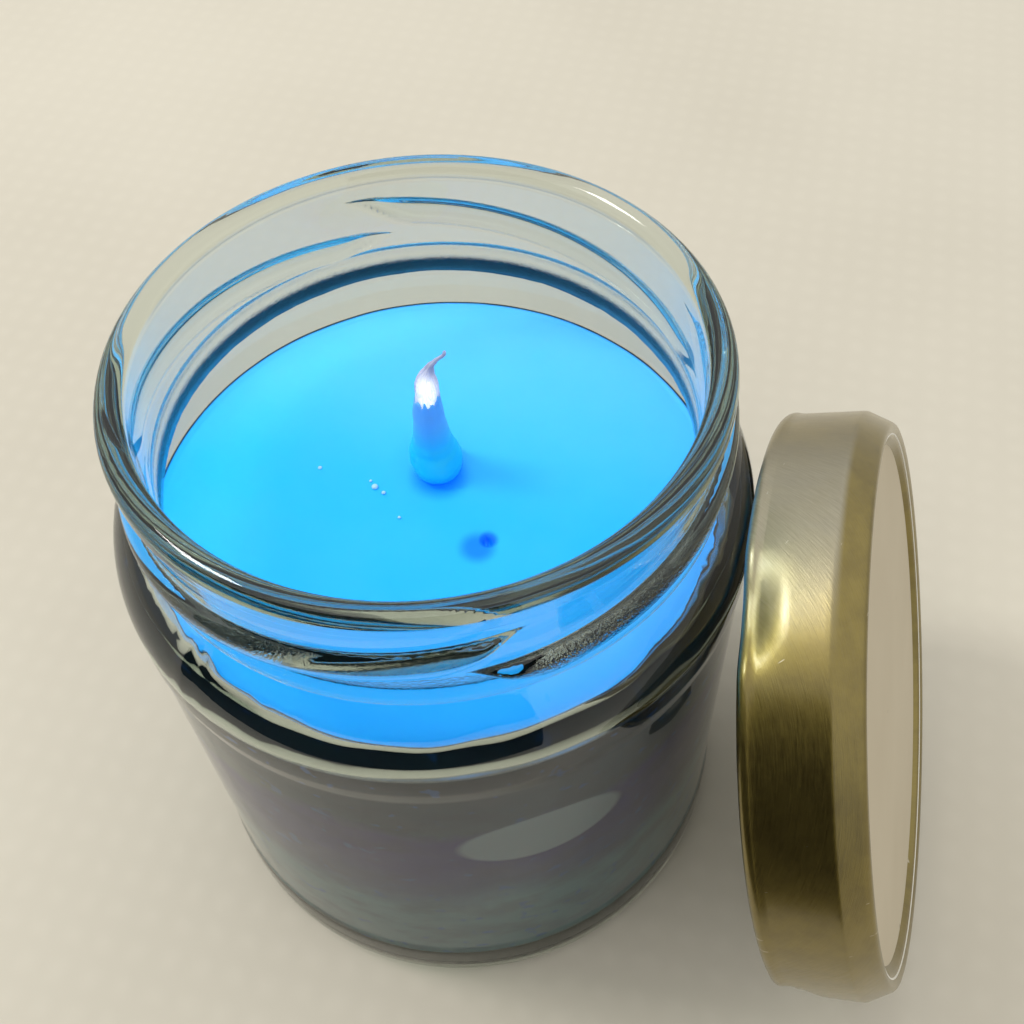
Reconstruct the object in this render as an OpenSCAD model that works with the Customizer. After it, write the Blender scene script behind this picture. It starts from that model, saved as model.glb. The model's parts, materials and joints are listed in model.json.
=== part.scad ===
// Candle in a glass twist-off jar, with its metal lug cap leaning against the jar.
// The jar stands on z = 0 with its axis on Z. The cap leans on the shoulder at +X.

/* [Jar body] */
// Outer diameter at the heel and shoulder bands
body_d = 68.2; // [66:0.2:72]
// Overall height to the top of the rim
jar_h = 81; // [79:0.5:86]
// Depth that the label panel is set in from the bands
panel_depth = 0.3; // [0.1:0.1:0.6]
// Outside radius of the heel
heel_r = 5; // [3:0.5:7]
// Outside radius of the shoulder curve
shoulder_r = 8.4; // [7.8:0.1:8.8]
// Glass thickness of the side wall
wall = 2.8; // [2.2:0.1:3.4]
// Glass thickness of the floor
floor_t = 4; // [3:0.5:6]

/* [Neck finish] */
// Diameter of the plain neck wall between the threads
neck_d = 59.4; // [59:0.1:59.8]
// Diameter over the thread crests
thread_d = 62; // [61.6:0.1:62.4]
// Diameter of the rim bead
rim_d = 60.6; // [60.2:0.1:61]
// Inside diameter of the mouth
mouth_d = 55; // [53:0.5:56]
// Number of thread starts
starts = 4; // [3:1:6]
// Sweep of one thread in degrees
thread_sweep = 102; // [80:2:104]
// Rise of one thread from its start to its end
thread_rise = 5.1; // [3:0.1:6]
// Angle of the end of the first thread
thread_end_a = 33.2; // [0:0.1:90]

/* [Wax and wick] */
// Height of the wax surface above the table
wax_z = 57.3; // [40:0.1:59]
// Wick position along X
wick_x = -1.3; // [-4:0.1:4]
// Wick position along Y
wick_y = 4.9; // [-6:0.1:6]
// Diameter of the cotton braid
braid_d = 2.4; // [1.6:0.1:3]
// Straight height of the wick above the wax
wick_h = 15.8; // [10:0.1:17]
// Diameter of the wax that climbs the wick at the surface
skirt_d = 6.1; // [4:0.1:8]
// Height of the wax coat above the surface
coat_h = 11.4; // [8:0.1:14]

/* [Wick foot] */
// Diameter of the metal foot
foot_d = 15; // [12:0.5:20]
// Thickness of the metal foot
foot_t = 0.4; // [0.3:0.1:1]
// Height of the crimped collar above the foot
collar_h = 4.5; // [3:0.5:7]
// Diameter of the adhesive pad under the foot
pad_d = 16; // [13:0.5:22]
// Thickness of the adhesive pad
pad_t = 0.6; // [0.4:0.1:1.5]

/* [Cap] */
// Outer diameter of the cap's skirt
cap_d = 67; // [66.2:0.1:67.2]
// Outer diameter of the curled edge
curl_d = 67.3; // [67.2:0.1:67.8]
// Height of the cap
cap_h = 12.1; // [11.8:0.1:12.6]
// Thickness of the tinplate
sheet = 0.5; // [0.4:0.05:0.6]
// Radius of the curl's roll
curl_roll = 0.9; // [0.8:0.05:1.1]
// Radius that the lugs reach in to
lug_in_r = 30.2; // [30:0.1:30.6]
// Width of one lug in degrees
lug_sweep = 18; // [10:1:26]
// Angle of the first lug round the cap
lug_a = 17; // [0:1:90]
// Diameter of the paper label
label_d = 59; // [50:0.2:59.2]
// Thickness of the paper label
label_t = 0.3; // [0.2:0.05:0.4]

/* [Leaning cap] */
// How far the cap leans from upright, in degrees
lean = 16.9; // [8:0.1:24]
// Clearance between the cap's curl and the shoulder
lean_gap = 0.15; // [0.1:0.05:1]
// Sideways offset of the cap from the jar's centre line
cap_y = -0.7; // [-2:0.1:2]

/* [Hidden] */
$fn = 96;
eps = 0.02;

body_r = body_d / 2;
panel_r = body_r - panel_depth;
neck_r = neck_d / 2;
rim_r = rim_d / 2;
mouth_r = mouth_d / 2;
inner_r = body_r - wall;
rim_roll = (rim_r - mouth_r) / 2;
// Height of the shoulder curve's centre
shoulder_z = jar_h - 21.3;
shoulder_c = body_r - shoulder_r;
// Where the shoulder curve meets the neck wall
neck_a = acos((neck_r - shoulder_c) / shoulder_r);
// The inside turns into the neck higher and tighter than the outside, so the glass thins there
inner_shoulder_r = shoulder_r - wall - 0.5;
inner_shoulder_c = inner_r - inner_shoulder_r;
inner_shoulder_z = shoulder_z + 1.5;
mouth_a = acos((mouth_r - inner_shoulder_c) / inner_shoulder_r);
inner_heel = 4.5;
// Round bead of the thread; its ring sits off the axis, so both ends sink into the neck wall
thread_roll = 2;
thread_ring = thread_d / 2 - thread_roll;
thread_sink = 3;
thread_mid_z = jar_h - 8.9;
thread_half = thread_sweep / 2;
// Angle of the first thread's middle, half the visible length back from its end
thread_mid_a = thread_end_a - 48;
thread_tilt = atan(thread_rise / (2 * (thread_ring - thread_sink) * sin(thread_half)));

pad_z = floor_t;
foot_z = pad_z + pad_t;
collar_z = foot_z + foot_t;
braid_r = braid_d / 2;
coat_r = braid_r + 0.4;
wick_top = wax_z + wick_h;
// Direction that the frayed tip hooks over
hook_a = 16.4;
hook_tilt = 58;

cap_r = cap_d / 2;
curl_c = curl_d / 2 - curl_roll;
panel_t = cap_h - 1.6;
ridge_in = cap_r - 3.2;
ridge_out = cap_r - 1.8;
corner_t = cap_h - 3.2;

// The cap stands on its curl and its curl touches the shoulder
cap_z = curl_roll + curl_c * cos(lean) - curl_roll * sin(lean);
top_z = cap_z + curl_roll * sin(lean) + curl_c * cos(lean);
reach = shoulder_r + curl_roll + lean_gap;
cap_x = shoulder_c + sqrt(pow(reach, 2) - pow(top_z - shoulder_z, 2)) - curl_roll * cos(lean)
        + curl_c * sin(lean);

// Points along an arc, from angle a to angle b
function arc(cx, cz, r, a, b, n = 10) =
    [for (i = [0:n]) [cx + r * cos(a + (b - a) * i / n), cz + r * sin(a + (b - a) * i / n)]];

module outer_glass() {
    rotate_extrude()
        polygon(concat(
            [[0, 0]],
            arc(body_r - heel_r, heel_r, heel_r, -90, 0),
            [[body_r, heel_r + 3], [panel_r, heel_r + 4.5]],
            [[panel_r, shoulder_z - 5], [body_r, shoulder_z - 2.5]],
            arc(shoulder_c, shoulder_z, shoulder_r, 0, neck_a - 3, 12),
            // transfer bead under the threads
            arc(neck_r - 0.3, jar_h - 13.2, 1, -40, 60, 6),
            [[neck_r, jar_h - 12]],
            [[neck_r, jar_h - 2.9], [rim_r, jar_h - 2.2]],
            arc(rim_r - rim_roll, jar_h - rim_roll, rim_roll, 0, 90, 8),
            [[0, jar_h]]
        ));
}

module inner_void() {
    rotate_extrude()
        polygon(concat(
            [[0, floor_t]],
            arc(inner_r - inner_heel, floor_t + inner_heel, inner_heel, -90, 0, 8),
            arc(inner_shoulder_c, inner_shoulder_z, inner_shoulder_r, 0, mouth_a, 10),
            // inner lip of the rim
            [for (i = [0:8]) [rim_r - rim_roll - rim_roll * cos(90 * i / 8),
                              jar_h - rim_roll + rim_roll * sin(90 * i / 8)]],
            [[rim_r - rim_roll, jar_h + 1], [0, jar_h + 1]]
        ));
}

// One thread that rises to the right, centred on +X
module thread() {
    translate([thread_sink, 0, thread_mid_z])
        rotate([thread_tilt, 0, 0])
            rotate([0, 0, -thread_half])
                rotate_extrude(angle = thread_sweep)
                    translate([thread_ring - thread_sink, 0])
                        circle(r = thread_roll, $fn = 48);
}

module glass_jar() {
    color([0.78, 0.84, 0.82, 0.35])
        difference() {
            union() {
                outer_glass();
                for (i = [0:starts - 1])
                    rotate([0, 0, thread_mid_a + i * 360 / starts])
                        thread();
            }
            inner_void();
        }
}

module at_wick() {
    translate([wick_x, wick_y, 0])
        children();
}

module braid_solid() {
    at_wick() {
        translate([0, 0, collar_z])
            cylinder(r = braid_r, h = wick_top - collar_z);
        translate([0, 0, wick_top])
            sphere(r = braid_r);
        // frayed tip, hooked over to one side
        translate([0, 0, wick_top])
            rotate([0, hook_tilt, hook_a]) {
                cylinder(r = 0.85, h = 2.2);
                translate([0, 0, 2.2])
                    sphere(r = 0.85);
            }
    }
}

module coat_shape(r_in) {
    at_wick()
        rotate_extrude()
            polygon([
                [r_in, collar_z + collar_h],
                [coat_r, collar_z + collar_h],
                [coat_r, wax_z],
                [skirt_d / 2, wax_z],
                [skirt_d / 2 - 0.25, wax_z + 1.9],
                [skirt_d / 2 - 0.7, wax_z + 3.8],
                [skirt_d / 2 - 1.05, wax_z + 5.7],
                [skirt_d / 2 - 1.3, wax_z + 8],
                [coat_r, wax_z + coat_h - 1],
                [r_in + 0.05, wax_z + coat_h],
                [r_in, wax_z + coat_h]
            ]);
}

module foot_solid(bore_r) {
    at_wick()
        difference() {
            union() {
                translate([0, 0, foot_z])
                    cylinder(d = foot_d, h = foot_t);
                translate([0, 0, collar_z])
                    cylinder(r = coat_r + 0.2, h = collar_h);
            }
            translate([0, 0, collar_z])
                cylinder(r = bore_r, h = collar_h + 1);
        }
}

module wax_fill() {
    color([0.22, 0.78, 0.98])
        difference() {
            rotate_extrude()
                polygon(concat(
                    [[0, floor_t]],
                    arc(inner_r - inner_heel, floor_t + inner_heel, inner_heel - eps, -90, 0, 8),
                    [[inner_r - eps, wax_z], [0, wax_z]]
                ));
            at_wick() {
                translate([0, 0, floor_t - 1])
                    cylinder(d = pad_d, h = pad_t + 1);
                translate([0, 0, foot_z])
                    cylinder(d = foot_d, h = foot_t);
                translate([0, 0, foot_z])
                    cylinder(r = coat_r + 0.2, h = foot_t + collar_h);
                translate([0, 0, foot_z])
                    cylinder(r = coat_r, h = wax_z);
            }
        }
}

module wick_braid() {
    color([0.94, 0.97, 0.98])
        braid_solid();
}

module wick_wax_coat() {
    color([0.05, 0.66, 0.98])
        coat_shape(braid_r);
}

module wick_foot() {
    color([0.72, 0.73, 0.75])
        foot_solid(braid_r);
}

module foot_pad() {
    color([0.93, 0.93, 0.9])
        at_wick()
            translate([0, 0, pad_z])
                cylinder(d = pad_d, h = pad_t);
}

// Cap frame: open edge at z = 0 and panel towards +Z, leant onto the shoulder
module lean_cap() {
    translate([cap_x, cap_y, cap_z])
        rotate([0, 90 - lean, 0])
            children();
}

module cap_sheet() {
    rotate_extrude()
        polygon([
            [0, panel_t], [ridge_in - 0.6, panel_t],
            [ridge_in, cap_h], [ridge_out, cap_h],
            [cap_r, corner_t], [cap_r, curl_roll],
            [cap_r - sheet, curl_roll], [cap_r - sheet, corner_t - 0.14],
            [ridge_out - 0.36, cap_h - sheet], [ridge_in + 0.35, cap_h - sheet],
            [ridge_in - 0.25, panel_t - sheet], [0, panel_t - sheet]
        ]);
    rotate_extrude()
        translate([curl_c, curl_roll])
            circle(r = curl_roll, $fn = 40);
}

module cap_shell() {
    color([0.62, 0.55, 0.32])
        lean_cap() {
            cap_sheet();
            for (i = [0:starts - 1])
                rotate([0, 0, lug_a - lug_sweep / 2 + i * 360 / starts])
                    rotate_extrude(angle = lug_sweep)
                        polygon([
                            [lug_in_r, 0.7], [lug_in_r + 0.4, 0.3], [curl_c, 0.15],
                            [curl_c, 1.65], [lug_in_r + 0.5, 1.9], [lug_in_r, 1.5]
                        ]);
        }
}

module cap_gasket() {
    color([0.9, 0.89, 0.84])
        lean_cap()
            rotate_extrude()
                polygon([
                    [mouth_r - 0.1, panel_t - sheet], [mouth_r - 0.1, panel_t - 1.1],
                    [mouth_r + 0.4, panel_t - 1.5], [rim_r + 0.8, panel_t - 1.5],
                    [rim_r + 1.7, panel_t - 1.2], [ridge_out - 0.36, cap_h - sheet],
                    [ridge_in + 0.35, cap_h - sheet], [ridge_in - 0.25, panel_t - sheet]
                ]);
}

module cap_label() {
    color([0.86, 0.82, 0.73])
        lean_cap()
            translate([0, 0, panel_t])
                cylinder(d = label_d, h = label_t);
}

glass_jar();
wax_fill();
wick_braid();
wick_wax_coat();
wick_foot();
foot_pad();
cap_shell();
cap_gasket();
cap_label();
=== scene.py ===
import json
import math
import random

import bmesh
import bpy
from mathutils import Matrix, Vector, noise


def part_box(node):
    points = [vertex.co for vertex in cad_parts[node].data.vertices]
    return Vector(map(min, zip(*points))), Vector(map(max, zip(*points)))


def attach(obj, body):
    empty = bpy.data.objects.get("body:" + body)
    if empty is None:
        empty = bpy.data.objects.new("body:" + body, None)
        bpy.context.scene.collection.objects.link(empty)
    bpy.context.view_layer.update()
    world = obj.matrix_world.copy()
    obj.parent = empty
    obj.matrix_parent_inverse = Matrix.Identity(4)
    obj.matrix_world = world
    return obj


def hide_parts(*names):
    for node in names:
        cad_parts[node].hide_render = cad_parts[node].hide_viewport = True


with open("model.json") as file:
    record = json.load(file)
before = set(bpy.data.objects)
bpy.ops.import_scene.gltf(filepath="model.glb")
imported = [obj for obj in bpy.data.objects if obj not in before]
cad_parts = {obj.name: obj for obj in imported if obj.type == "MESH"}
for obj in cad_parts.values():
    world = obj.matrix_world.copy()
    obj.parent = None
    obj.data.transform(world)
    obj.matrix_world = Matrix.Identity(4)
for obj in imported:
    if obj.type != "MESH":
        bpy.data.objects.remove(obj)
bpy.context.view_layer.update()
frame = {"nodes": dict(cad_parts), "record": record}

mm = 0.001
stage = bpy.context.scene


# Shape helpers work in millimetres until the mesh is made.

def easeBetween(start, end, value):
    share = min(1.0, max(0.0, (value - start) / (end - start)))
    return share * share * (3 - 2 * share)


def turnGap(one, other):
    return (one - other + 180) % 360 - 180


def arcPoints(centreR, centreZ, radius, start, end, count):
    turns = [math.radians(start + (end - start) * i / count) for i in range(count + 1)]
    return [Vector((centreR + radius * math.cos(t), centreZ + radius * math.sin(t))) for t in turns]


def roundedLine(corners, spacing):
    # each corner is (r, z, rounding); the ends have no rounding
    points = [Vector(corners[0][:2])]

    def walkTo(goal):
        start = points[-1]
        count = max(1, round((goal - start).length / spacing))
        points.extend(start.lerp(goal, i / count) for i in range(1, count + 1))

    for before, corner, after in zip(corners, corners[1:], corners[2:]):
        here, rounding = Vector(corner[:2]), corner[2]
        back, forth = Vector(before[:2]) - here, Vector(after[:2]) - here
        halfTurn = back.angle(forth) / 2
        room = min(back.length, forth.length) * 0.49
        cut = min(rounding / math.tan(halfTurn), room)
        rounding = cut * math.tan(halfTurn)
        back.normalize()
        forth.normalize()
        middle = here + (back + forth).normalized() * (rounding / math.sin(halfTurn))
        fromPoint, toPoint = here + back * cut - middle, here + forth * cut - middle
        start = math.degrees(math.atan2(fromPoint.y, fromPoint.x))
        sweep = turnGap(math.degrees(math.atan2(toPoint.y, toPoint.x)), start)
        count = max(3, math.ceil(abs(math.radians(sweep)) * rounding / min(spacing, 0.7)))
        arc = arcPoints(middle.x, middle.y, rounding, start, start + sweep, min(count, 16))
        walkTo(arc[0])
        points.extend(arc[1:])
    walkTo(Vector(corners[-1][:2]))
    return points


def spinProfile(points, steps, closed=False):
    shape = bmesh.new()
    verts = [shape.verts.new((r * mm, 0, z * mm)) for r, z in points]
    edges = [shape.edges.new(pair) for pair in zip(verts, verts[1:])]
    if closed:
        edges.append(shape.edges.new((verts[-1], verts[0])))
    bmesh.ops.spin(shape, geom=verts + edges, cent=(0, 0, 0), axis=(0, 0, 1),
                   angle=2 * math.pi, steps=steps, use_merge=True)
    bmesh.ops.remove_doubles(shape, verts=shape.verts, dist=0.002 * mm)
    bmesh.ops.recalc_face_normals(shape, faces=shape.faces)
    return shape


def reshapeRound(shape, rule):
    # rule takes (r, turn in degrees, z) in millimetres and gives the new r and z
    for vert in shape.verts:
        r = vert.co.xy.length / mm
        if r < 0.01:
            continue
        turn = math.degrees(math.atan2(vert.co.y, vert.co.x))
        newR, newZ = rule(r, turn, vert.co.z / mm)
        vert.co.x *= newR / r
        vert.co.y *= newR / r
        vert.co.z = newZ * mm


def blankUv(shape, top):
    # where each point lay on the flat round blank, in metres, before it was drawn into a cap
    layer = shape.loops.layers.uv.new("blank")
    for face in shape.faces:
        for loop in face.loops:
            flat, height = loop.vert.co.xy, loop.vert.co.z
            reach = flat.length + top * mm - height
            loop[layer].uv = flat.normalized() * reach if flat.length > 0 else flat


def ripple(spot, size, seed=0.0):
    return noise.noise(Vector((spot[0] / size + seed, spot[1] / size, spot[2] / size)))


def makePiece(shape, name, body, nodes, slotName, *finishes):
    mesh = bpy.data.meshes.new(name)
    if isinstance(shape, bmesh.types.BMesh):
        shape.to_mesh(mesh)
        shape.free()
    else:
        mesh = shape
    for finish in finishes:
        mesh.materials.append(finish)
    mesh.shade_smooth()
    piece = bpy.data.objects.new(name, mesh)
    stage.collection.objects.link(piece)
    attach(piece, body)
    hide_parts(*nodes)
    print("made", name, len(mesh.polygons), "faces")
    return piece


def tubesAsMesh(name, strands, roundness):
    # strands is a list of (points, radii) in millimetres
    curve = bpy.data.curves.new(name, "CURVE")
    curve.dimensions = "3D"
    curve.bevel_depth = mm
    curve.bevel_resolution = roundness
    curve.use_fill_caps = True
    for points, radii in strands:
        spline = curve.splines.new("POLY")
        spline.points.add(len(points) - 1)
        for knot, point, radius in zip(spline.points, points, radii):
            knot.co = (point[0] * mm, point[1] * mm, point[2] * mm, 1)
            knot.radius = radius
    holder = bpy.data.objects.new(name, curve)
    stage.collection.objects.link(holder)
    graph = bpy.context.evaluated_depsgraph_get()
    mesh = bpy.data.meshes.new_from_object(holder.evaluated_get(graph))
    bpy.data.objects.remove(holder)
    mesh.materials.clear()
    return mesh


def startFinish(name):
    finish = bpy.data.materials.new(name)
    finish.use_nodes = True
    return finish, finish.node_tree, finish.node_tree.nodes["Principled BSDF"]


def addNode(tree, kind, inputs, output=0, **settings):
    node = tree.nodes.new(kind)
    for key, value in settings.items():
        setattr(node, key, value)
    feed(tree, node, inputs)
    return node.outputs[output]


def feed(tree, node, inputs):
    for key, value in inputs.items():
        if isinstance(value, bpy.types.NodeSocket):
            tree.links.new(value, node.inputs[key])
        else:
            node.inputs[key].default_value = value


def objectSpot(tree, scale=(1, 1, 1), turn=(0, 0, 0), place=(0, 0, 0)):
    spot = addNode(tree, "ShaderNodeTexCoord", {}, "Object")
    return addNode(tree, "ShaderNodeMapping", {"Vector": spot, "Scale": scale, "Rotation": turn,
                                               "Location": place})


def blankSpot(tree, turn, scale):
    # the pattern is turned first and stretched after
    spot = addNode(tree, "ShaderNodeUVMap", {}, uv_map="blank")
    turned = addNode(tree, "ShaderNodeMapping", {"Vector": spot, "Rotation": (0, 0, math.radians(turn))})
    return addNode(tree, "ShaderNodeMapping", {"Vector": turned, "Scale": scale})


def cloudy(tree, spot, scale, detail=2.0, rough=0.5):
    return addNode(tree, "ShaderNodeTexNoise", {"Vector": spot, "Scale": scale, "Detail": detail,
                                                "Roughness": rough}, "Fac")


def stretch(tree, value, fromLow, fromHigh, toLow=0.0, toHigh=1.0):
    return addNode(tree, "ShaderNodeMapRange", {"Value": value, "From Min": fromLow, "From Max": fromHigh,
                                                "To Min": toLow, "To Max": toHigh},
                   interpolation_type="SMOOTHSTEP")


def combine(tree, operation, one, other=0.0):
    return addNode(tree, "ShaderNodeMath", {0: one, 1: other}, operation=operation)


def mixTint(tree, share, one, other, blend="MIX"):
    return addNode(tree, "ShaderNodeMix", {0: share, 6: tint(one), 7: tint(other)}, 2,
                   data_type="RGBA", blend_type=blend)


def tint(colour):
    return (*colour, 1.0) if isinstance(colour, tuple) and len(colour) == 3 else colour


def spotMask(tree, centre, inside, outside, stretchBy=(1, 1, 1)):
    # 1 within inside millimetres of the centre, fading to 0 at outside
    offset = addNode(tree, "ShaderNodeVectorMath", {0: objectSpot(tree), 1: tuple(c * mm for c in centre)},
                     operation="SUBTRACT")
    scaled = addNode(tree, "ShaderNodeVectorMath", {0: offset, 1: stretchBy}, operation="MULTIPLY")
    away = addNode(tree, "ShaderNodeVectorMath", {0: scaled}, "Value", operation="LENGTH")
    return stretch(tree, away, inside * mm, outside * mm, 1.0, 0.0)


def heightOf(tree):
    return addNode(tree, "ShaderNodeSeparateXYZ", {0: objectSpot(tree)}, "Z")


def relief(tree, height, strength, distance, under=None):
    inputs = {"Height": height, "Strength": strength, "Distance": distance * mm}
    if under:
        inputs["Normal"] = under
    return addNode(tree, "ShaderNodeBump", inputs)


camera = {
    "place": (0.03052, -0.07478, 0.16121), "yaw": -16.409, "pitch": 52.998, "roll": -3.447,
    "lens": 42.092,
}


def setCamera(values):
    yaw, pitch, roll = (math.radians(values[k]) for k in ("yaw", "pitch", "roll"))
    ahead = Vector((math.sin(yaw) * math.cos(pitch), math.cos(yaw) * math.cos(pitch), -math.sin(pitch)))
    level = Vector((math.cos(yaw), -math.sin(yaw), 0))
    over = level.cross(ahead)
    right = math.cos(roll) * level + math.sin(roll) * over
    up = math.cos(roll) * over - math.sin(roll) * level
    data = bpy.data.cameras.new("tableCamera")
    data.lens, data.sensor_width, data.clip_start = values["lens"], 36, 0.01
    holder = bpy.data.objects.new("tableCamera", data)
    holder.matrix_world = Matrix((right, up, -ahead)).transposed().to_4x4()
    holder.matrix_world.translation = values["place"]
    stage.collection.objects.link(holder)
    stage.camera = holder
    print("camera set")


studio = {
    "keyTurn": 180.0, "keyHeight": 57.0, "keyAway": 1.0, "keySize": 0.22, "keyPower": 2.9,
    "skyTop": 1.08, "skyEdge": 0.62,
    "shadeAt": (-0.05, -0.12, 0.11), "shadeWide": 0.3, "shadeHigh": 0.22,
    "cloth": (0.635, 0.60, 0.505), "clothShade": (0.58, 0.545, 0.455), "threadSize": 0.75,
}


def setStudio(values):
    world = bpy.data.worlds.new("softStudio")
    world.use_nodes = True
    tree = world.node_tree
    way = addNode(tree, "ShaderNodeTexCoord", {}, "Generated")
    rise = addNode(tree, "ShaderNodeSeparateXYZ", {0: way}, "Z")
    sky = stretch(tree, rise, 0.0, 0.9, values["skyEdge"], values["skyTop"])
    feed(tree, tree.nodes["Background"], {"Color": (1.0, 0.985, 0.96, 1.0), "Strength": sky})
    stage.world = world
    stage.view_settings.view_transform = "Standard"

    turn, height = math.radians(values["keyTurn"]), math.radians(values["keyHeight"])
    way = Vector((math.cos(turn) * math.cos(height), math.sin(turn) * math.cos(height), math.sin(height)))
    lamp = bpy.data.lights.new("keyPanel", "AREA")
    lamp.size, lamp.energy, lamp.color = values["keySize"], values["keyPower"], (1.0, 0.98, 0.95)
    holder = bpy.data.objects.new("keyPanel", lamp)
    holder.matrix_world = way.to_track_quat("Z", "Y").to_matrix().to_4x4()
    holder.matrix_world.translation = way * values["keyAway"]
    stage.collection.objects.link(holder)

    finish, tree, shader = startFinish("tableCloth")
    wide = cloudy(tree, objectSpot(tree), 9.0, 3.0)
    threads = {"Vector": objectSpot(tree), "Scale": 0.05 / (values["threadSize"] * mm),
               "Distortion": 1.4, "Detail": 2.0, "Detail Scale": 3.0}
    across = addNode(tree, "ShaderNodeTexWave", threads, "Fac", bands_direction="X")
    along = addNode(tree, "ShaderNodeTexWave", threads, "Fac", bands_direction="Y")
    weave = combine(tree, "MULTIPLY", across, along)
    colour = mixTint(tree, stretch(tree, wide, 0.3, 0.75), values["cloth"], values["clothShade"])
    colour = mixTint(tree, combine(tree, "MULTIPLY", weave, 0.12), colour, (0.72, 0.68, 0.58))
    feed(tree, shader, {"Base Color": colour, "Roughness": 0.85, "Specular IOR Level": 0.2,
                        "Normal": relief(tree, weave, 0.35, 0.12)})
    shape = bmesh.new()
    bmesh.ops.create_grid(shape, x_segments=4, y_segments=4, size=1.6)
    mesh = bpy.data.meshes.new("tableCloth")
    shape.to_mesh(mesh)
    shape.free()
    mesh.materials.append(finish)
    cloth = bpy.data.objects.new("tableCloth", mesh)
    stage.collection.objects.link(cloth)

    # a dark board in front of the jar, seen only in the glass and the gold
    finish, tree, shader = startFinish("shadeBoard")
    feed(tree, shader, {"Base Color": (0.012, 0.012, 0.016, 1.0), "Roughness": 0.9})
    shape = bmesh.new()
    bmesh.ops.create_grid(shape, x_segments=1, y_segments=1, size=0.5)
    bmesh.ops.scale(shape, vec=(values["shadeWide"], values["shadeHigh"], 1), verts=shape.verts)
    bmesh.ops.rotate(shape, matrix=Matrix.Rotation(math.pi / 2, 3, "X"), verts=shape.verts)
    bmesh.ops.translate(shape, vec=values["shadeAt"], verts=shape.verts)
    mesh = bpy.data.meshes.new("shadeBoard")
    shape.to_mesh(mesh)
    shape.free()
    mesh.materials.append(finish)
    board = bpy.data.objects.new("shadeBoard", mesh)
    board.visible_camera = board.visible_diffuse = board.visible_shadow = False
    stage.collection.objects.link(board)
    print("cloth and light set")


jarLow, jarHigh = (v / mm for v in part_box("glass_jar"))
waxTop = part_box("wax_fill")[1].z / mm
jarValues = {
    "bodyR": 34.1, "panelR": 33.8, "heelR": 5.0, "pushUp": 1.3, "height": jarHigh.z,
    "shoulderR": 8.4, "shoulderZ": 59.7, "flareR": 5.1, "flareZ": 61.2,
    "neckR": 29.7, "rimR": 30.3, "mouthR": 27.5,
    "innerR": 31.3, "innerHeel": 4.5, "floorZ": 3.98,
    "starts": 4, "threadStart": 23.4, "threadLength": 99.8, "threadLow": 69.4, "threadHigh": 74.7,
    "threadHalf": 1.85, "threadHeight": 1.3, "threadTaper": 15.0,
    "seams": (-119.4, 60.6), "ripple": 0.05, "neckRipple": 0.11, "shoulderRipple": 0.1, "steps": 288,
    "tint": (0.96, 0.97, 0.955), "deepTint": (0.91, 0.93, 0.90), "ior": 1.52,
    "olive": (0.70, 0.77, 0.72, 1.0), "oliveDensity": 225.0, "rubbed": (66.6, 67.4, 69.2, 70.0),
}


def jarProfile(j):
    centre = j["bodyR"] - j["shoulderR"]
    rimRoll = (j["rimR"] - j["mouthR"]) / 2
    neckTurn = math.degrees(math.acos((j["neckR"] - centre) / j["shoulderR"]))
    flareC = j["innerR"] - j["flareR"]
    mouthTurn = math.degrees(math.acos((j["mouthR"] - flareC) / j["flareR"]))
    heelR, heelZ = j["innerR"] - j["innerHeel"], j["floorZ"] + j["innerHeel"]
    outside = roundedLine([
        (0, j["pushUp"]), (23.5, j["pushUp"] - 0.15, 4), (27.0, 0, 1.4), (j["bodyR"], 0, j["heelR"]),
        (j["bodyR"], 8.4, 5), (j["panelR"], 10.4, 5), (j["panelR"], 54.4, 5), (j["bodyR"], 56.6, 5),
        (j["bodyR"], j["shoulderZ"])], 2.2)
    shoulder = arcPoints(centre, j["shoulderZ"], j["shoulderR"], 0, neckTurn, 26)
    neck = roundedLine([
        shoulder[-1].to_tuple(), (30.35, 67.45, 0.35), (30.4, 68.7, 0.45), (j["neckR"], 69.3, 0.4),
        (j["neckR"], 78.1, 0.3), (j["rimR"] + 0.02, 78.5, 0.4), (j["rimR"], j["height"] - rimRoll)], 0.15)
    rim = arcPoints(j["rimR"] - rimRoll, j["height"] - rimRoll, rimRoll, 0, 180, 20)
    inside = roundedLine([rim[-1].to_tuple(), (j["mouthR"], j["flareZ"] + j["flareR"] + 0.8)], 1.1)
    flare = arcPoints(flareC, j["flareZ"], j["flareR"], mouthTurn, 0, 18)
    wall = roundedLine([flare[-1].to_tuple(), (j["innerR"], heelZ)], 2.6)
    heel = arcPoints(heelR, heelZ, j["innerHeel"], 0, -90, 10)
    base = roundedLine([heel[-1].to_tuple(), (0, j["floorZ"])], 3.0)
    return outside + shoulder[1:] + neck[1:] + rim[1:] + inside[1:] + flare + wall[1:] + heel[1:] + base[1:]


def threadRise(j, turn, z):
    rise = 0.0
    for i in range(j["starts"]):
        along = (turn - j["threadStart"] - i * 360 / j["starts"]) % 360
        fromEnd = min(along, j["threadLength"] - along)
        if fromEnd <= 0:
            continue
        climb = (j["threadHigh"] - j["threadLow"]) * along / j["threadLength"]
        top = j["threadLow"] + climb + j["threadHalf"]
        width = 2 * j["threadHalf"] * easeBetween(-1.5, j["threadTaper"], fromEnd)
        across = (z - top) / width + 1
        if 0 < across < 1:
            full = j["threadHeight"] * easeBetween(-1, 8, fromEnd)
            rise = max(rise, full * (1 - (2 * across - 1) ** 2) ** 0.6)
    return rise


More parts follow.
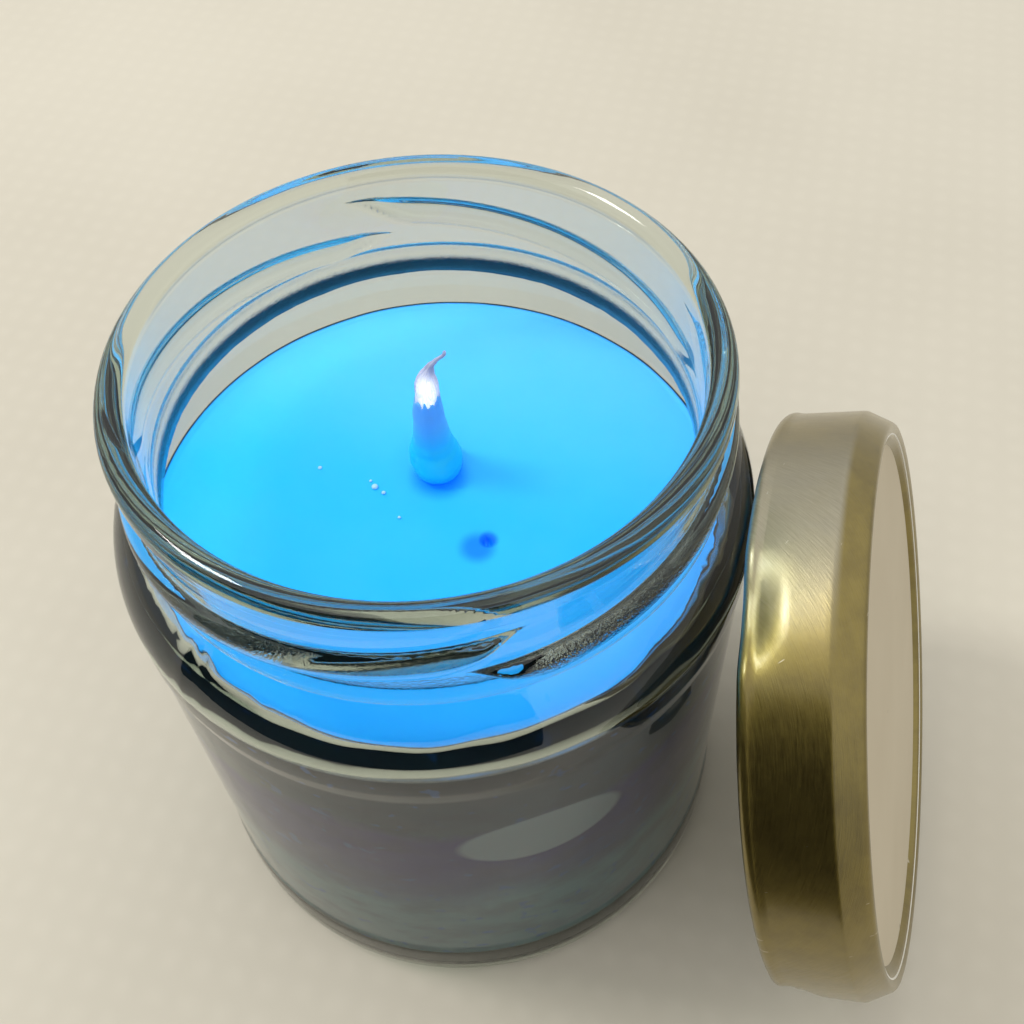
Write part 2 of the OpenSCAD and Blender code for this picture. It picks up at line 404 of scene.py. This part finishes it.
def jarShape(j):
    def mould(r, turn, z):
        over = max(0.0, 58 - (z - j["shoulderZ"]) ** 2)
        middle = 32.7 if z < j["shoulderZ"] else max(28.6, 25.7 + math.sqrt(over))
        spot = (r * math.cos(math.radians(turn)), r * math.sin(math.radians(turn)), z)
        if r > middle or z < 2:
            if 66.5 < z < 78.3:
                r = max(r, j["neckR"] + threadRise(j, turn, z))
            if 8 < z < 66:
                r += 0.02 * ripple(spot, 11)
                for seam in j["seams"]:
                    proud = 0.03 + 0.09 * easeBetween(58, 61, z)
                    r += proud * easeBetween(1.6, 0, abs(turnGap(turn, seam)))
        elif r > 20:
            flare = easeBetween(55, 60, z) * easeBetween(70, 66, z)
            r += j["ripple"] * ripple(spot, 9, 3.0) * easeBetween(80, 77, z)
            r += j["neckRipple"] * flare * ripple(spot, 4.2, 8.0)
            high = easeBetween(63, 64.2, z) * easeBetween(67, 65.8, z)
            r += j["shoulderRipple"] * high * ripple(spot, 1.3, 4.0)
        return r, z

    shape = spinProfile(jarProfile(j), j["steps"])
    reshapeRound(shape, mould)
    return shape


def clearGlass(j):
    finish, tree, shader = startFinish("clearGlass")
    z = heightOf(tree)
    # a rubbed band where the neck meets the shoulder
    lowStart, lowEnd, highStart, highEnd = (edge * mm for edge in j["rubbed"])
    lowBand = stretch(tree, z, lowStart, lowEnd)
    highBand = stretch(tree, z, highStart, highEnd, 1.0, 0.0)
    band = combine(tree, "MULTIPLY", lowBand, highBand)
    speckle = cloudy(tree, objectSpot(tree), 2600.0, 3.0, 0.7)
    slow = cloudy(tree, objectSpot(tree), 70.0, 2.0)
    soft = relief(tree, slow, 0.25, 0.6)
    rough = relief(tree, combine(tree, "MULTIPLY", band, speckle), 0.8, 0.12, soft)
    colour = mixTint(tree, slow, j["tint"], j["deepTint"])
    feed(tree, shader, {"Base Color": colour, "Roughness": combine(tree, "MULTIPLY", band, 0.12),
                        "IOR": j["ior"], "Transmission Weight": 1.0, "Normal": rough})
    clear = addNode(tree, "ShaderNodeBsdfTransparent", {"Color": (0.97, 0.98, 0.97, 1.0)})
    shadow = addNode(tree, "ShaderNodeLightPath", {}, "Is Shadow Ray")
    both = addNode(tree, "ShaderNodeMixShader", {0: shadow, 1: shader.outputs[0], 2: clear})
    # long paths through the glass turn olive
    olive = addNode(tree, "ShaderNodeVolumeAbsorption", {"Color": j["olive"], "Density": j["oliveDensity"]})
    feed(tree, tree.nodes["Material Output"], {"Surface": both, "Volume": olive})
    return finish


waxValues = {
    # outR is a little more than the glass's inner radius, so wax and glass touch without an air gap
    "outR": 31.42, "top": waxTop, "floorZ": 3.9, "heel": 4.5, "padR": 7.7, "padTop": 4.7, "steps": 216,
    "pit": (6.67, -3.86), "pitR": 0.62, "pitDeep": 1.4, "blot": (5.9, -5.0),
    "crumbs": ((-14.2, 1.8, 0.24), (-7.3, 0.5, 0.38), (-6.1, -0.1, 0.24), (-8.0, 1.2, 0.16),
               (-3.4, -3.0, 0.18)),
    "topBlue": (0.006, 0.52, 0.965), "litBackBlue": (0.15, 0.72, 0.975),
    "deepBlue": (0.0, 0.18, 0.74), "wickShadowBlue": (0.0, 0.27, 0.95),
    "glow": 0.55, "glowBlue": (0.0, 0.02, 1.0, 1.0),  # a faint light of its own, for the strong blue
    "sideBandsAndShade": (
        (0.0, (0.07, 0.06, 0.045)), (0.05, (0.12, 0.26, 0.32)), (0.36, (0.12, 0.29, 0.38)),
        (0.46, (0.045, 0.09, 0.25)), (0.6, (0.035, 0.035, 0.26)), (0.74, (0.04, 0.035, 0.26)),
        (0.79, (0.05, 0.10, 0.17)), (0.93, (0.035, 0.07, 0.12)), (1.0, (0.005, 0.02, 0.04))),
    "mottle": (0.035, 0.04, 0.10), "speckle": (0.02, 0.14, 0.5),
    "patchTurn": -57.0, "patchZ": 40.3, "patchR": 31.2, "patchGrey": (0.44, 0.52, 0.60),
}


def waxShape(w):
    heelR, heelZ = w["outR"] - w["heel"], w["floorZ"] + w["heel"]
    base = roundedLine([(0, w["floorZ"]), (heelR, w["floorZ"])], 0.8)
    heel = arcPoints(heelR, heelZ, w["heel"], -90, 0, 8)
    side = roundedLine([heel[-1].to_tuple(), (w["outR"], w["top"] + 0.3, 0.12),
                        (w["outR"] - 0.9, w["top"] - 0.02, 1.2), (0, w["top"])], 0.42)
    shape = spinProfile(base + heel[1:] + side[1:], w["steps"])

    def settle(r, turn, z):
        spot = (r * math.cos(math.radians(turn)), r * math.sin(math.radians(turn)), 0)
        if z < w["top"] - 0.6:
            toWick = math.dist(spot[:2], (wickValues["x"], wickValues["y"]))
            overPad = toWick < w["padR"] and z < w["floorZ"] + 0.1
            return r, w["padTop"] if overPad else z
        toPit = math.dist(spot[:2], w["pit"])
        z += 0.09 * ripple(spot, 9) + 0.025 * ripple(spot, 2.2, 5.0)
        z -= w["pitDeep"] * easeBetween(w["pitR"], 0.1, toPit)
        z -= 0.18 * easeBetween(2.6, 0.3, toPit)
        return r, z

    reshapeRound(shape, settle)
    for x, y, size in w["crumbs"]:
        place = Matrix.Translation(Vector((x, y, w["top"] + 0.1)) * mm) @ Matrix.Diagonal((1, 1, 0.6, 1))
        made = bmesh.ops.create_icosphere(shape, subdivisions=2, radius=size * mm, matrix=place)
        for face in {f for v in made["verts"] for f in v.link_faces}:
            face.material_index = 1
    return shape


def blueWax(w):
    finish, tree, shader = startFinish("blueWax")
    place = addNode(tree, "ShaderNodeSeparateXYZ", {0: objectSpot(tree)}, "Y")
    z = heightOf(tree)
    patch = cloudy(tree, objectSpot(tree), 95.0, 3.0, 0.55)
    # painted light: the top is painted lighter towards the back, where more light falls, mixed with a
    # quarter of random mottling
    litTowardBack = stretch(tree, place, -4 * mm, 30 * mm)
    litTowardBack = combine(tree, "ADD", combine(tree, "MULTIPLY", litTowardBack, 0.75),
                     combine(tree, "MULTIPLY", patch, 0.25))
    top = mixTint(tree, litTowardBack, w["topBlue"], w["litBackBlue"])
    # painted shade: the pit is painted darker blue; a darker patch lies beside it
    blot = spotMask(tree, (*w["blot"], w["top"]), 0.9, 2.6)
    pit = spotMask(tree, (*w["pit"], w["top"]), 0.7, 1.5)
    # painted shadow: darker blue on the wax top round the front of the wick's foot
    wickShadow = spotMask(tree, (wickValues["x"] + 0.7, wickValues["y"] - 1.6, w["top"]), 1.6, 4.2, (1, 1.1, 1))
    top = mixTint(tree, combine(tree, "MULTIPLY", wickShadow, 0.8), top, w["wickShadowBlue"])
    dark = combine(tree, "MAXIMUM", combine(tree, "MULTIPLY", blot, 0.75), pit)
    top = mixTint(tree, dark, top, w["deepBlue"])
    # side, seen through the glass: colour bands up the side with mottle, blue speckles and a grey oval
    # patch; the bands are partly the wax's own colour and partly painted shade, darkest at the heel and
    # under the shoulder
    wander = cloudy(tree, objectSpot(tree, (1, 1, 0.6)), 75.0, 4.0, 0.6)
    wander = addNode(tree, "ShaderNodeMapRange", {"Value": wander, "To Min": -0.11, "To Max": 0.11})
    level = addNode(tree, "ShaderNodeMapRange", {"Value": z, "From Min": 4 * mm, "From Max": w["top"] * mm})
    bands = addNode(tree, "ShaderNodeValToRGB", {0: combine(tree, "ADD", level, wander)})
    ramp = bands.node.color_ramp
    stops = w["sideBandsAndShade"]
    while len(ramp.elements) < len(stops):
        ramp.elements.new(0.5)
    for element, (position, colour) in zip(ramp.elements, stops):
        element.position, element.color = position, (*colour, 1.0)
    mottle = stretch(tree, cloudy(tree, objectSpot(tree, (1, 1, 1.8)), 150.0, 4.0, 0.6), 0.4, 0.7)
    side = mixTint(tree, combine(tree, "MULTIPLY", mottle, 0.4), bands, w["mottle"])
    sparkSpot = objectSpot(tree, place=(0.3, 0, 0))
    spark = stretch(tree, cloudy(tree, sparkSpot, 420.0, 2.0), 0.62, 0.72)
    side = mixTint(tree, combine(tree, "MULTIPLY", spark, 0.6), side, w["speckle"])
    patchTurn = math.radians(w["patchTurn"])
    patchSpot = (w["patchR"] * math.cos(patchTurn), w["patchR"] * math.sin(patchTurn), w["patchZ"])
    oval = spotMask(tree, patchSpot, 8.0, 9.2, (1.0, 1.0, 1.75))
    side = mixTint(tree, combine(tree, "MULTIPLY", oval, 0.9), side, w["patchGrey"])
    flat = addNode(tree, "ShaderNodeVectorMath", {0: objectSpot(tree), 1: (1, 1, 0)}, operation="MULTIPLY")
    fromAxis = addNode(tree, "ShaderNodeVectorMath", {0: flat}, "Value", operation="LENGTH")
    onTop = combine(tree, "MULTIPLY", stretch(tree, z, (w["top"] - 4) * mm, (w["top"] - 3) * mm),
                    stretch(tree, fromAxis, 30.95 * mm, 31.25 * mm, 1.0, 0.0))
    feed(tree, shader, {
        "Base Color": mixTint(tree, onTop, side, top), "Emission Color": w["glowBlue"],
        "Emission Strength": combine(tree, "MULTIPLY", onTop, w["glow"]),
        "Roughness": stretch(tree, patch, 0.3, 0.7, 0.42, 0.55),
        "Specular IOR Level": 0.12, "Subsurface Weight": 0.35, "Subsurface Radius": (0.25, 0.8, 1.0),
        "Subsurface Scale": 0.0012,
        "Normal": relief(tree, cloudy(tree, objectSpot(tree), 700.0, 3.0), 0.12, 0.12)})
    return finish


def paleCrumb():
    finish, tree, shader = startFinish("paleCrumb")
    grain = cloudy(tree, objectSpot(tree), 1800.0, 2.0)
    feed(tree, shader, {"Base Color": mixTint(tree, grain, (0.30, 0.72, 0.96), (0.62, 0.88, 0.98)),
                        "Roughness": 0.6})
    return finish


footLow, footHigh = (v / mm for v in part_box("wick_foot"))
wickValues = {
    "x": (footLow.x + footHigh.x) / 2, "y": (footLow.y + footHigh.y) / 2, "hookTurn": 16.4,
    "leans": ((0, 0), (5.7, -0.22), (10.5, -0.2), (12, -0.1), (13.5, 0.0), (14.8, 0.1), (15.9, 0.5),
              (16.8, 1.25), (17.5, 2.2)),
    "coatWidths": ((0, 5.3), (0.6, 5.7), (1.7, 6.0), (2.9, 5.6), (4.1, 4.75), (5.3, 4.05), (7, 3.65),
                   (8.5, 3.4), (10.5, 3.0), (11.2, 2.7)),
    "strandR": 0.6, "spread": 0.6, "plaitLength": 4.6, "fibres": 130,
    "coatBlue": (0.0, 0.60, 0.98), "climbBlue": (0.16, 0.42, 0.92), "footShadeBlue": (0.0, 0.33, 0.95),
    "cotton": (0.52, 0.60, 0.90), "soaked": (0.30, 0.58, 0.93), "bareLit": (0.95, 0.96, 0.96),
}


def readAlong(table, height):
    if height <= table[0][0]:
        return table[0][1]
    for (lowAt, low), (highAt, high) in zip(table, table[1:]):
        if height <= highAt:
            return low + (high - low) * easeBetween(0, 1, (height - lowAt) / (highAt - lowAt))
    return table[-1][1]


def wickCentre(k, height):
    lean = readAlong(k["leans"], height)
    turn = math.radians(k["hookTurn"])
    return Vector((k["x"] + lean * math.cos(turn), k["y"] + lean * math.sin(turn), waxTop + height))


def coatShape(k):
    below = [(1.7, -6.0), (1.75, -1.5), (2.9, -0.5)]
    above = [(readAlong(k["coatWidths"], h * 0.28) / 2, h * 0.28) for h in range(41)]
    inside = [(1.05, 11.0), (1.0, 9.0), (1.0, -6.0)]
    shape = spinProfile(below + above + inside, 64, closed=True)

    def melt(r, turn, z):
        drip = ripple((math.cos(math.radians(turn)) * 1.6, math.sin(math.radians(turn)) * 1.6, z), 2.4, 2.0)
        if r > 1.2 and z > -0.4:
            r *= 1 + 0.07 * drip
            # a fuller bulge at the foot, on the front
            bulge = easeBetween(3.6, 2.0, z) * easeBetween(0, 1.2, z)
            r += 0.35 * easeBetween(55, 10, abs(turnGap(turn, -78))) * bulge
        if z > 8.6:
            around = math.radians(turn)
            ragged = ripple((math.cos(around) * 3, math.sin(around) * 3, 0), 1.3, 7.0)
            z += 1.5 * ragged * easeBetween(8.6, 11.2, z)
        return r, z

    reshapeRound(shape, melt)
    for vert in shape.verts:
        spot = wickCentre(k, vert.co.z / mm)
        vert.co.x += spot.x * mm
        vert.co.y += spot.y * mm
        vert.co.z += waxTop * mm
    return shape


def braidMesh(k):
    rand = random.Random(12)
    strands = []
    for i in range(3):
        points, radii = [], []
        for n in range(120):
            height = -40 + 56.6 * n / 119
            phase = 2 * math.pi * (height / k["plaitLength"] + i / 3)
            spot = wickCentre(k, height)
            spread = k["spread"] * (1 - 0.85 * easeBetween(13.2, 16.4, height))
            points.append(spot + Vector((spread * math.cos(phase), spread * 0.7 * math.sin(2 * phase), 0)))
            radii.append(k["strandR"] * (1 - 0.72 * easeBetween(13.6, 16.6, height)))
        strands.append((points, radii))
    for i in range(k["fibres"]):
        start = rand.uniform(9.5, 16.2)
        turn = rand.uniform(0, 2 * math.pi)
        reach = rand.uniform(1.6, 5.2)
        out = rand.uniform(0.8, 1.22)
        swirl = rand.uniform(-0.7, 0.7)
        points, radii = [], []
        for n in range(9):
            share = n / 8
            height = min(start + reach * share, 17.9)
            wide = out * (1 + 0.12 * math.sin(share * math.pi))
            wide *= 1 - 0.9 * easeBetween(12.8, 17.3, height)
            angle = turn + swirl * share
            aside = Vector((wide * math.cos(angle), wide * math.sin(angle), 0))
            points.append(wickCentre(k, height) + aside)
            radii.append(0.11 * (1 - 0.8 * share))
        strands.append((points, radii))
    return tubesAsMesh("wick_cotton", strands, 2)


def wickWax(k):
    finish, tree, shader = startFinish("wickWax")
    z = heightOf(tree)
    climb = stretch(tree, z, (waxTop + 3.5) * mm, (waxTop + 9.5) * mm)
    streak = cloudy(tree, objectSpot(tree, (1, 1, 0.35)), 900.0, 3.0)
    colour = mixTint(tree, climb, k["coatBlue"], k["climbBlue"])
    colour = mixTint(tree, combine(tree, "MULTIPLY", streak, 0.22), colour, (0.10, 0.58, 0.95))
    # painted shade: the coat is darker blue just at its foot, where it meets the wax
    foot = stretch(tree, z, (waxTop - 0.2) * mm, (waxTop + 1.1) * mm, 1.0, 0.0)
    colour = mixTint(tree, combine(tree, "MULTIPLY", foot, 0.2), colour, k["footShadeBlue"])
    # painted glow: the coat shines faintly by itself
    feed(tree, shader, {"Base Color": colour, "Emission Color": (0.0, 0.3, 1.0, 1.0),
                        "Emission Strength": 0.14, "Roughness": 0.4, "Subsurface Weight": 0.5,
                        "Subsurface Radius": (0.3, 0.8, 1.0), "Subsurface Scale": 0.001,
                        "Normal": relief(tree, streak, 0.3, 0.15)})
    return finish


def wickCotton(k):
    finish, tree, shader = startFinish("wickCotton")
    strand = cloudy(tree, objectSpot(tree, (1, 1, 0.25)), 3200.0, 3.0, 0.6)
    z = heightOf(tree)
    clean = stretch(tree, z, (waxTop + 8.5) * mm, (waxTop + 12.5) * mm)
    colour = mixTint(tree, clean, k["soaked"], k["cotton"])
    colour = mixTint(tree, combine(tree, "MULTIPLY", strand, 0.3), colour, (0.62, 0.60, 0.86))
    # partly the cotton's own white, partly painted highlight: the bare cotton near the tip is painted white
    # on the front and glows faintly by itself
    bareLit = wickCentre(k, 12.6) + Vector((0.2, -1.0, 0))
    bareLitMask = spotMask(tree, bareLit.to_tuple(), 0.9, 2.3, (1.35, 0.8, 0.62))
    colour = mixTint(tree, bareLitMask, colour, k["bareLit"])
    feed(tree, shader, {"Base Color": colour, "Emission Color": (0.85, 0.87, 1.0, 1.0),
                        "Emission Strength": combine(tree, "MULTIPLY", bareLitMask, 0.4), "Roughness": 0.8,
                        "Sheen Weight": 0.3, "Subsurface Weight": 0.3,
                        "Subsurface Radius": (1.0, 1.0, 1.0), "Subsurface Scale": 0.0005,
                        "Normal": relief(tree, strand, 0.5, 0.08)})
    return finish


capMount = next(m for m in frame["record"]["mounts"] if m["name"] == "cap_top_face")
capAxis = Vector(capMount["axis"]).normalized()
capValues = {
    "panelT": 10.5, "height": 12.1, "labelTop": 10.8, "ridgeIn": 30.3, "ridgeOut": 31.8, "ridgeLip": 11.35,
    "skirtR": 33.5, "cornerT": 8.9, "sheet": 0.5, "curlR": 0.9, "curlC": 32.75,
    "lugTurn": 17.0, "lugs": 4, "lugHalf": 12.0, "dent": 1.15, "lugReach": 1.65,
    "dentHeight": 4.6, "steps": 320,
    "gold": (0.205, 0.152, 0.022), "darkGold": (0.15, 0.108, 0.014), "paleGold": (0.33, 0.27, 0.10),
    "highlightSilver": (0.25, 0.235, 0.18), "highlightAt": 2.0, "highlightFrom": 3.0, "highlightTo": 18.0,
    "skirtFrom": 35.6, "skirtFull": 36.8,
    "brushTurn": 48.5,
}
capPlace = Matrix((
    (capAxis.z, 0, capAxis.x), (0, 1, 0), (-capAxis.x, 0, capAxis.z))).to_4x4()
capPlace.translation = Vector(capMount["pos_m"]) - capAxis * capValues["labelTop"] * mm


def capShape(c):
    s = c["sheet"]
    outside = roundedLine([
        (0, c["panelT"]), (c["ridgeIn"] - 0.6, c["panelT"], 0.35), (c["ridgeIn"], c["ridgeLip"], 0.4),
        (c["ridgeOut"], c["height"], 0.7), (c["skirtR"], c["cornerT"], 1.0), (c["skirtR"], 1.9, 0.8),
        (c["skirtR"] + 0.07, 1.25)], 0.5)
    curl = arcPoints(c["curlC"], c["curlR"], c["curlR"], 20, -235, 22)
    inside = roundedLine([
        (c["skirtR"] - s - 0.05, 1.9), (c["skirtR"] - s, c["cornerT"] - 0.14, 0.7),
        (c["ridgeOut"] - 0.36, c["height"] - s, 0.5), (c["ridgeIn"] + 0.35, c["ridgeLip"] - s, 0.2),
        (c["ridgeIn"] - 0.85, c["panelT"] - s, 0.3), (0, c["panelT"] - s)], 0.8)
    shape = spinProfile(outside + curl + inside, c["steps"])

    def pressLugs(r, turn, t):
        if t > c["dentHeight"]:
            return r, t
        gap = min(abs(turnGap(turn, c["lugTurn"] + i * 360 / c["lugs"])) for i in range(c["lugs"]))
        share = easeBetween(c["lugHalf"], 1.5, gap)
        low = min(1.0, (c["dentHeight"] - t) / (c["dentHeight"] - 1.1)) ** 1.5
        inner = easeBetween(c["curlC"], c["curlC"] - c["curlR"], r) * easeBetween(2.6, 1.4, t)
        push = c["dent"] * share * low + (c["lugReach"] - c["dent"] * 0.5) * share * inner
        return r - push, t

    reshapeRound(shape, pressLugs)
    blankUv(shape, c["height"])
    bmesh.ops.transform(shape, matrix=capPlace, verts=shape.verts)
    return shape


def goldLacquer(c):
    finish, tree, shader = startFinish("goldLacquer")
    turn = c["brushTurn"]
    hatch = cloudy(tree, blankSpot(tree, turn, (330, 7000, 1)), 1.0, 3.0, 0.7)
    longMarks = cloudy(tree, blankSpot(tree, turn - 4, (110, 2600, 1)), 1.0, 2.0)
    wear = cloudy(tree, blankSpot(tree, 0, (420, 420, 1)), 0.6, 4.0, 0.6)
    nick = stretch(tree, cloudy(tree, blankSpot(tree, turn + 60, (260, 1500, 1)), 1.0, 2.0), 0.735, 0.75)
    colour = mixTint(tree, stretch(tree, wear, 0.35, 0.7), c["gold"], c["darkGold"])
    colour = mixTint(tree, combine(tree, "MULTIPLY", hatch, 0.45), colour, c["paleGold"])
    colour = mixTint(tree, combine(tree, "MULTIPLY", nick, 0.5), colour, (0.72, 0.68, 0.55))
    # painted highlight: a paler, more silvery zone round the middle of the skirt, standing in for the key
    # light's reflection
    spread = addNode(tree, "ShaderNodeUVMap", {}, uv_map="blank")
    fromMiddle = addNode(tree, "ShaderNodeVectorMath", {0: spread}, "Value", operation="LENGTH")
    sideways = addNode(tree, "ShaderNodeSeparateXYZ", {0: objectSpot(tree)}, "Y")
    offMiddle = combine(tree, "ABSOLUTE", combine(tree, "SUBTRACT", sideways, c["highlightAt"] * mm))
    paintedHighlight = combine(tree, "MULTIPLY", stretch(tree, fromMiddle, c["skirtFrom"] * mm, c["skirtFull"] * mm),
                   stretch(tree, offMiddle, c["highlightFrom"] * mm, c["highlightTo"] * mm, 0.65, 0.0))
    colour = mixTint(tree, paintedHighlight, colour, mixTint(tree, hatch, c["highlightSilver"], (0.52, 0.50, 0.42)))
    marks = combine(tree, "ADD", hatch, combine(tree, "MULTIPLY", longMarks, 0.8))
    feed(tree, shader, {"Base Color": colour, "Metallic": 1.0,
                        "Roughness": stretch(tree, hatch, 0.2, 0.8, 0.29, 0.45), "Coat Weight": 0.8,
                        "Coat Roughness": 0.2, "Coat IOR": 1.55,
                        "Normal": relief(tree, marks, 0.7, 0.03)})
    return finish


labelValues = {"cream": (0.57, 0.505, 0.38), "shade": (0.50, 0.435, 0.315), "fleck": (0.20, 0.16, 0.12)}


def labelPaper(p):
    finish, tree, shader = startFinish("labelPaper")
    fibre = cloudy(tree, objectSpot(tree), 900.0, 4.0, 0.6)
    soft = cloudy(tree, objectSpot(tree), 60.0, 2.0)
    dot = addNode(tree, "ShaderNodeTexVoronoi", {"Vector": objectSpot(tree), "Scale": 150.0}, "Distance")
    dotted = stretch(tree, dot, 0.03, 0.06, 1.0, 0.0)
    rare = stretch(tree, cloudy(tree, objectSpot(tree), 130.0, 1.0), 0.62, 0.64)
    colour = mixTint(tree, soft, p["shade"], p["cream"])
    colour = mixTint(tree, combine(tree, "MULTIPLY", dotted, rare), colour, p["fleck"])
    feed(tree, shader, {"Base Color": colour, "Roughness": 0.75, "Specular IOR Level": 0.3,
                        "Normal": relief(tree, fibre, 0.15, 0.06)})
    return finish


linerValues = {"pale": (0.80, 0.78, 0.71), "shade": (0.72, 0.70, 0.62)}


def liner(p):
    finish, tree, shader = startFinish("liner")
    soft = cloudy(tree, objectSpot(tree), 240.0, 3.0)
    feed(tree, shader, {"Base Color": mixTint(tree, soft, p["shade"], p["pale"]),
                        "Roughness": stretch(tree, soft, 0.3, 0.7, 0.35, 0.5),
                        "Normal": relief(tree, soft, 0.2, 0.2)})
    return finish


footValues = {"bright": (0.72, 0.73, 0.75), "dull": (0.55, 0.56, 0.58)}


def footMetal(p):
    finish, tree, shader = startFinish("footMetal")
    brushed = cloudy(tree, objectSpot(tree, (1, 6, 1)), 900.0, 3.0)
    feed(tree, shader, {"Base Color": mixTint(tree, brushed, p["dull"], p["bright"]),
                        "Metallic": 1.0, "Roughness": stretch(tree, brushed, 0.3, 0.7, 0.25, 0.4)})
    return finish


padValues = {"pale": (0.9, 0.9, 0.87), "shade": (0.78, 0.78, 0.74)}


def stickyPad(p):
    finish, tree, shader = startFinish("stickyPad")
    foam = cloudy(tree, objectSpot(tree), 2600.0, 2.0)
    feed(tree, shader, {"Base Color": mixTint(tree, foam, p["shade"], p["pale"]),
                        "Roughness": 0.8, "Normal": relief(tree, foam, 0.4, 0.1)})
    return finish


def refinish(node, finish):
    piece = frame["nodes"][node]
    piece.data.materials.clear()
    piece.data.materials.append(finish)
    print("finished", node)


setCamera(camera)
setStudio(studio)
makePiece(jarShape(jarValues), "jar_glass", "jar", ["glass_jar"], "clear_glass",
          clearGlass(jarValues))
makePiece(waxShape(waxValues), "wax_candle", "jar", ["wax_fill"], "blue_wax",
          blueWax(waxValues), paleCrumb())
makePiece(coatShape(wickValues), "wick_coat", "jar", ["wick_wax_coat"], "wick_wax",
          wickWax(wickValues))
makePiece(braidMesh(wickValues), "wick_cotton", "jar", ["wick_braid"], "cotton",
          wickCotton(wickValues))
makePiece(capShape(capValues), "cap_tinplate", "cap", ["cap_shell"], "gold_tinplate",
          goldLacquer(capValues))
refinish("cap_label", labelPaper(labelValues))
refinish("cap_gasket", liner(linerValues))
refinish("wick_foot", footMetal(footValues))
refinish("foot_pad", stickyPad(padValues))

print("all pieces made")
